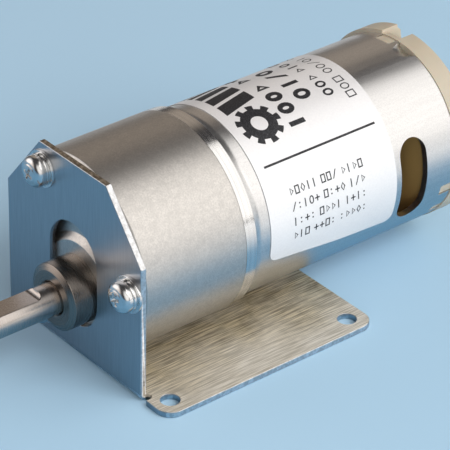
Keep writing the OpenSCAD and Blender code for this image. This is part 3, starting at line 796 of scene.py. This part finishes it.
def make_spring_washers():
    """Split rings whose ends stand slightly apart."""
    low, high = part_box("spring_washers")
    inner, outer = 1.62 * MM, 3.0 * MM
    # Angles in degrees: the gap between the ends, and how far each end face leans
    gap = 11
    end_lean = 3
    steps = 80
    for number, centre in enumerate(solid_centres("flat_washers"), 1):
        verts = []
        faces = []
        for i in range(steps + 1):
            a = math.radians(90 + gap / 2 + (360 - gap) * i / steps)
            lean = math.radians(end_lean) * (i / steps * 2 - 1)
            for x, r, way in ((low.x, inner, -1), (high.x, inner, 1), (high.x, outer, 1),
                              (low.x, outer, -1)):
                b = a + lean * way
                verts.append((x, centre.y + r * math.cos(b), centre.z + r * math.sin(b)))
        for i in range(steps):
            for k in range(4):
                m = (k + 1) % 4
                faces.append((4 * i + k, 4 * i + m, 4 * i + 4 + m, 4 * i + 4 + k))
        faces += [(0, 1, 2, 3), tuple(4 * steps + k for k in (3, 2, 1, 0))]
        obj = new_piece(f"spring_washer_{number}", verts, faces, "case", "spring_washers")
        paint(smooth(obj), plated)
        bevel(obj, 0.08 * MM, 40)


make_case_screws()
make_spring_washers()


# ---- Label and its print ----------------------------------------------------------------

LABEL_R = can.r + 0.13 * MM
LABEL_THICK = 0.1 * MM
LABEL_CORNER = 1.8 * MM
LABEL_LENGTH = label.front - label.rear

# Where the label starts beside the motor, in front and at the rear, and where it ends
LOW_FRONT_ANGLE = -13.5
LOW_REAR_ANGLE = -23.5
HIGH_ANGLE = 195.0

# How far the lower edge stands off the can: most, where along the label, and over what reach
LIFT = 0.22 * MM
LIFT_PLACE = 0.55
LIFT_SPREAD = 0.28
LIFT_REACH = 1.6 * MM


def on_label(x, angle, lift):
    """The point at an angle round the can, on the label's outer face plus a lift."""
    a = math.radians(angle)
    r = LABEL_R + lift
    return (x, r * math.cos(a), motor_z + r * math.sin(a))


def low_angle(x):
    """Angle of the label's lower edge, which is slanted."""
    t = (label.front - x) / LABEL_LENGTH
    return LOW_FRONT_ANGLE + (LOW_REAR_ANGLE - LOW_FRONT_ANGLE) * t


def corner_inset(x):
    """How far the round corners pull an edge in, as an angle."""
    d = min(label.front - x, x - label.rear)
    if d >= LABEL_CORNER:
        return 0.0
    inset = LABEL_CORNER - math.sqrt(max(0.0, LABEL_CORNER ** 2 - (LABEL_CORNER - d) ** 2))
    return math.degrees(inset / LABEL_R)


def label_lift(x, angle):
    """The lower edge stands off the can a little, most of all midway."""
    across = (angle - low_angle(x)) * math.radians(1) * LABEL_R
    t = (label.front - x) / LABEL_LENGTH
    along = math.exp(-((t - LIFT_PLACE) / LIFT_SPREAD) ** 2)
    return LIFT * math.exp(-across / LIFT_REACH) * along


def make_label():
    """Paper sheet with round corners, as a grid that is finest at its corners."""
    corner_steps = 12
    middle_steps = 28
    rows = 180
    ends = [LABEL_CORNER * (1 - math.cos(math.pi / 2 * i / corner_steps))
            for i in range(corner_steps + 1)]
    middle = [LABEL_CORNER + (LABEL_LENGTH - 2 * LABEL_CORNER) * i / middle_steps
              for i in range(1, middle_steps)]
    columns = [label.front - d for d in ends + middle] + [label.rear + d for d in reversed(ends)]
    verts = []
    faces = []
    for x in columns:
        start = low_angle(x) + corner_inset(x)
        end = HIGH_ANGLE - corner_inset(x)
        for j in range(rows + 1):
            angle = start + (end - start) * (j / rows) ** 1.25
            verts.append(on_label(x, angle, label_lift(x, angle)))
    for i in range(len(columns) - 1):
        for j in range(rows):
            a = i * (rows + 1) + j
            faces.append((a, a + 1, a + rows + 2, a + rows + 1))
    obj = new_piece("motor_label_fine", verts, faces, "case", "motor_label")
    thick = obj.modifiers.new("thick", "SOLIDIFY")
    thick.thickness = LABEL_THICK
    thick.offset = -1
    paint(smooth(obj, 40), paper)


PRINT_LIFT = 0.012 * MM
PRINT_STEP = 0.4 * MM


class Print:
    """Flat marks laid on the label, in metres: u runs round the can from +Y, and v from the
    label's front edge to the rear."""

    def __init__(self):
        self.verts = []
        self.faces = []

    def at(self, u, v):
        """The point just above the label at (u, v)."""
        angle = math.degrees(u / LABEL_R)
        x = label.front - v
        return on_label(x, angle, label_lift(x, angle) + PRINT_LIFT)

    def patch(self, corners):
        """A four-cornered mark, split in both directions so that it follows the can."""
        a, b, c, d = [Vector(p) for p in corners]
        across = max(1, math.ceil(max(abs(b.x - a.x), abs(c.x - d.x)) / PRINT_STEP))
        down = max(1, math.ceil(max(abs(d.x - a.x), abs(c.x - b.x)) / PRINT_STEP))
        start = len(self.verts)
        for i in range(across + 1):
            top = a.lerp(b, i / across)
            bottom = d.lerp(c, i / across)
            self.verts += [self.at(*top.lerp(bottom, j / down)) for j in range(down + 1)]
        row = down + 1
        for i in range(across):
            for j in range(down):
                k = start + i * row + j
                self.faces.append((k, k + row, k + row + 1, k + 1))

    def bar(self, u, v, du, dv, slant=0.0):
        """A bar du wide and dv long, whose front end leans by slant times its length."""
        self.patch([(u + slant * dv, v), (u + du + slant * dv, v), (u + du, v + dv), (u, v + dv)])

    def gear(self, u, v, r):
        """Pictogram of a gear wheel with a hole."""
        teeth = 9
        parts_of_tooth = 6
        hole = r * 0.36
        root = r * 0.78
        steps = teeth * parts_of_tooth
        for i in range(steps):
            turn = [2 * math.pi * (i + k) / steps for k in (0, 1)]
            tip = r if i % parts_of_tooth < 3 else root
            self.patch([(u + k * math.cos(a), v + k * math.sin(a)) for k, a in
                        ((hole, turn[0]), (tip, turn[0]), (tip, turn[1]), (hole, turn[1]))])


# Sides of the round and cornered marks, and the marks to choose from
SIDES = {"ring": 16, "diamond": 4, "triangle": 3}
MARKS = ("ring", "triangle", "bar", "slash", "diamond", "plus", "ring", "dots", "bar", "box")


def draw_mark(p, kind, place, w, h, t):
    """One abstract mark, with strokes t thick, in a cell w wide and h tall. place turns cell
    coordinates into (u, v)."""
    def stroke(a0, b0, a1, b1, lean=0.0):
        """A stroke between two corners of the cell, its far end moved sideways by lean."""
        p.patch([place(a0, b0), place(a1, b0), place(a1 + lean, b1), place(a0 + lean, b1)])

    if kind in SIDES:
        steps = SIDES[kind]
        for i in range(steps):
            turn = [2 * math.pi * (i + k) / steps for k in (0, 1)]
            p.patch([place(w / 2 + (w / 2 - cut_in) * math.cos(a),
                           h / 2 + (h / 2 - cut_in) * math.sin(a))
                     for cut_in, a in ((t, turn[0]), (0, turn[0]), (0, turn[1]), (t, turn[1]))])
    elif kind == "box":
        stroke(0, 0, t, h)
        stroke(w - t, 0, w, h)
        stroke(t, 0, w - t, t)
        stroke(t, h - t, w - t, h)
    elif kind == "slash":
        stroke(0, 0, t, h, w - t)
    elif kind == "dots":
        for level in (0.12, 0.62):
            stroke(w * 0.3, h * level, w * 0.3 + t * 1.2, h * level + t * 1.2)
    elif kind == "plus":
        stroke(0, h * 0.4, w, h * 0.4 + t)
        stroke(w / 2 - t / 2, h * 0.1, w / 2 + t / 2, h * 0.4)
        stroke(w / 2 - t / 2, h * 0.4 + t, w / 2 + t / 2, h * 0.7 + t)
    else:
        stroke(w * 0.3, 0, w * 0.3 + t, h)


def marks_row(p, place, length, w, h, t, rng):
    """A row of abstract marks in groups of three to five, about as dense as a printed line."""
    pitch = w * 1.26
    gap = w * 0.7
    a = 0.0
    while a < length:
        for _ in range(rng.choice((3, 4, 5))):
            if a + w > length:
                return
            draw_mark(p, rng.choice(MARKS), lambda x, y, a=a: place(a + x, y), w, h, t)
            a += pitch
        a += gap


def print_across(rng):
    """The marks that run round the can: a gear wheel, slanted bars and four rows."""
    p = Print()
    start = LABEL_R * math.radians(56)
    p.gear(start + 3.9 * MM, 6.3 * MM, 4.5 * MM)
    u = start + 9.9 * MM
    for wide in (3.0, 2.5, 2.0, 1.5, 1.1, 0.7):
        p.bar(u, 2.2 * MM, wide * MM, 7.8 * MM, -0.25)
        u += (wide + 0.9) * MM
    # Start angle, then in millimetres place behind the front edge, height, stroke and reach
    for angle, v, h, t, reach in ((56, 11.4, 3.4, 1.0, 24), (72, 16.4, 3.5, 0.9, 16),
                                  (68, 21.8, 2.2, 0.45, 21), (62, 25.8, 1.9, 0.24, 23)):
        begin = LABEL_R * math.radians(angle)
        marks_row(p, lambda a, b: (begin + a, (v + h) * MM - b), reach * MM,
                  h * 0.8 * MM, h * MM, t * MM, rng)
    # Divider along the can
    p.bar(LABEL_R * math.radians(42.3), 2.0 * MM, 0.42 * MM, 25.8 * MM)
    return p


def print_along(rng):
    """Four small rows that run along the can, below the divider."""
    p = Print()
    for angle in (22.5, 13.6, 4.6, -4.2):
        base = LABEL_R * math.radians(angle)
        marks_row(p, lambda a, b: (base + b, 5.2 * MM + a), 18.4 * MM, 1.05 * MM, 1.6 * MM,
                  0.24 * MM, rng)
    return p


def make_print():
    """Generic marks in place of lettering, the same on each run."""
    rng = random.Random(7)
    for number, part in enumerate((print_across(rng), print_along(rng)), 1):
        obj = new_piece(f"label_print_{number}", part.verts, part.faces, "case")
        paint(obj, black_ink)


make_label()
make_print()


# ---- Floor, light and camera ------------------------------------------------------------


def make_floor():
    """Plain pale floor, a little under the base plate."""
    mesh = bpy.data.meshes.new("floor")
    half = 2.5
    mesh.from_pydata([(-half, -half, 0), (half, -half, 0), (half, half, 0), (-half, half, 0)],
                     [], [(0, 1, 2, 3)])
    floor = add_object("floor", mesh)
    floor.location.z = bracket_low.z - 0.02 * MM
    s = Shader("floor_paint", (0.46, 0.69, 0.88), 0.55)
    drift = s.noise(s.place(), 3.0, 2.0)
    tone = s.mix(s.ramp(drift, 0.35, 0.65), (0.44, 0.67, 0.86), (0.48, 0.71, 0.90))
    # Painted reflection: mirrored in metal the floor is given a deeper blue than seen directly, as painted
    # shade, and a pale colour where it is met at a low angle from the front, as the painted sheen of a
    # glossy sheet. The pale zone lies behind the upright only, so the bush and the shaft in front of it
    # mirror the blue.
    geometry = s.node("ShaderNodeNewGeometry")
    facing = s.node("ShaderNodeVectorMath", {0: geometry.outputs["Normal"],
                    1: geometry.outputs["Incoming"]}, operation="DOT_PRODUCT").outputs["Value"]
    from_front = s.ramp(s.split(geometry.outputs["Incoming"])[0], 0.1, 0.4)
    behind = s.ramp(s.split(s.place())[0], plate_front + 8 * MM, plate_front - 22 * MM)
    shallow = s.ramp(s.math("ABSOLUTE", facing), 0.48, 0.2)
    painted_reflection = s.mix(s.times(shallow, s.times(from_front, behind)), (0.10, 0.31, 0.53), (0.95, 0.95, 0.95))
    glossy = s.node("ShaderNodeLightPath").outputs["Is Glossy Ray"]
    # Glossy rays see the painted reflection colours in place of the floor's own
    s.link(s.mix(s.times(glossy, 0.85), tone, painted_reflection), "Base Color")
    floor.data.materials.append(s.mat)


def area_light(name, place, target, size, power, color):
    """A softbox that faces its target."""
    data = bpy.data.lights.new(name, "AREA")
    data.shape = "RECTANGLE"
    data.size, data.size_y = size
    data.energy = power
    data.color = color
    obj = bpy.data.objects.new(name, data)
    obj.location = place
    obj.rotation_euler = (target - Vector(place)).to_track_quat("-Z", "Y").to_euler()
    bpy.context.scene.collection.objects.link(obj)
    return obj


# Direction of each lit wall, the angles from it where its light starts to fade and has gone, in
# degrees, and its colour
WALLS = (((-0.544, -0.700, 0.480), 8, 26, (0.30, 0.25, 0.20)),
         ((0.70, -0.65, 0.28), 12, 40, (0.85, 0.76, 0.70)),
         ((0.35, 0.80, 0.50), 18, 44, (0.95, 0.93, 0.90)),
         ((0.45, -0.75, 0.42), 12, 36, (0.60, 0.60, 0.62)))
STUDIO_DARK = (0.05, 0.048, 0.050)


def make_world():
    """Dark studio with soft lit walls for the metal to mirror."""
    world = bpy.data.worlds.new("studio")
    bpy.context.scene.world = world
    world.use_nodes = True
    tree = world.node_tree
    out = tree.nodes["Background"]
    direction = tree.nodes.new("ShaderNodeTexCoord").outputs["Generated"]
    total = None
    for toward, full, gone, color in WALLS:
        dot = tree.nodes.new("ShaderNodeVectorMath")
        dot.operation = "DOT_PRODUCT"
        tree.links.new(direction, dot.inputs[0])
        dot.inputs[1].default_value = Vector(toward).normalized()
        fade = tree.nodes.new("ShaderNodeMapRange")
        fade.interpolation_type = "SMOOTHSTEP"
        fade.inputs["From Min"].default_value = math.cos(math.radians(gone))
        fade.inputs["From Max"].default_value = math.cos(math.radians(full))
        tree.links.new(dot.outputs["Value"], fade.inputs["Value"])
        tint = tree.nodes.new("ShaderNodeVectorMath")
        tint.operation = "SCALE"
        tint.inputs[0].default_value = color
        tree.links.new(fade.outputs[0], tint.inputs["Scale"])
        add = tree.nodes.new("ShaderNodeVectorMath")
        add.operation = "ADD"
        tree.links.new(tint.outputs[0], add.inputs[0])
        if total is None:
            add.inputs[1].default_value = STUDIO_DARK
        else:
            tree.links.new(total, add.inputs[1])
        total = add.outputs[0]
    tree.links.new(total, out.inputs["Color"])


# Angles in degrees: azimuth 0 looks along +Y, and the roll turns the picture
CAMERA_AZIMUTH = 140.0
CAMERA_ELEVATION = 32.14
CAMERA_ROLL = 1.203
CAMERA_DISTANCE = 527.97 * MM
CAMERA_LENS = 233.4
AIM_BEHIND_PLATE = 34.23 * MM
AIM_BELOW_MOTOR = 6.94 * MM


def make_camera():
    """Long lens aimed at a point between the gearbox and the base plate."""
    data = bpy.data.cameras.new("camera")
    data.sensor_width = 36
    data.lens = CAMERA_LENS
    data.clip_start = 0.01
    camera = bpy.data.objects.new("camera", data)
    bpy.context.scene.collection.objects.link(camera)
    a, e = math.radians(CAMERA_AZIMUTH), math.radians(CAMERA_ELEVATION)
    back = Vector((math.sin(a) * math.cos(e), -math.cos(a) * math.cos(e), math.sin(e)))
    aim = Vector((plate_front - AIM_BEHIND_PLATE, 0, motor_z - AIM_BELOW_MOTOR))
    turn = back.to_track_quat("Z", "Y").to_matrix().to_4x4()
    roll = Matrix.Rotation(math.radians(CAMERA_ROLL), 4, "Z")
    camera.matrix_world = Matrix.Translation(aim + back * CAMERA_DISTANCE) @ turn @ roll
    bpy.context.scene.camera = camera


def make_lights():
    """One large softbox beside the motor, mirrored in the metal, and fills that are not."""
    centre = Vector((can.front - 20 * MM, 0, motor_z))
    beside = Vector((-0.52, 0.535, 0.535)).normalized()
    key_distance = 0.9
    area_light("key", centre + beside * key_distance, centre, (1.1, 1.2), 5.3,
               (1.0, 0.975, 0.95))
    fills = [area_light("side_fill", (-0.22, 0.74, 0.66), centre, (0.6, 0.6), 4.9,
                        (1.0, 0.98, 0.97)),
             area_light("vent_fill", (0.45, 0.62, 0.12), centre, (0.3, 0.3), 0.9,
                        (1.0, 0.98, 0.97)),
             area_light("top_fill", (0.1, -0.1, 1.2), centre, (0.9, 0.9), 0.9,
                        (0.96, 0.98, 1.0))]
    for fill in fills:
        fill.visible_glossy = False


make_floor()
make_world()
make_camera()
make_lights()
bpy.context.scene.view_settings.view_transform = "Standard"
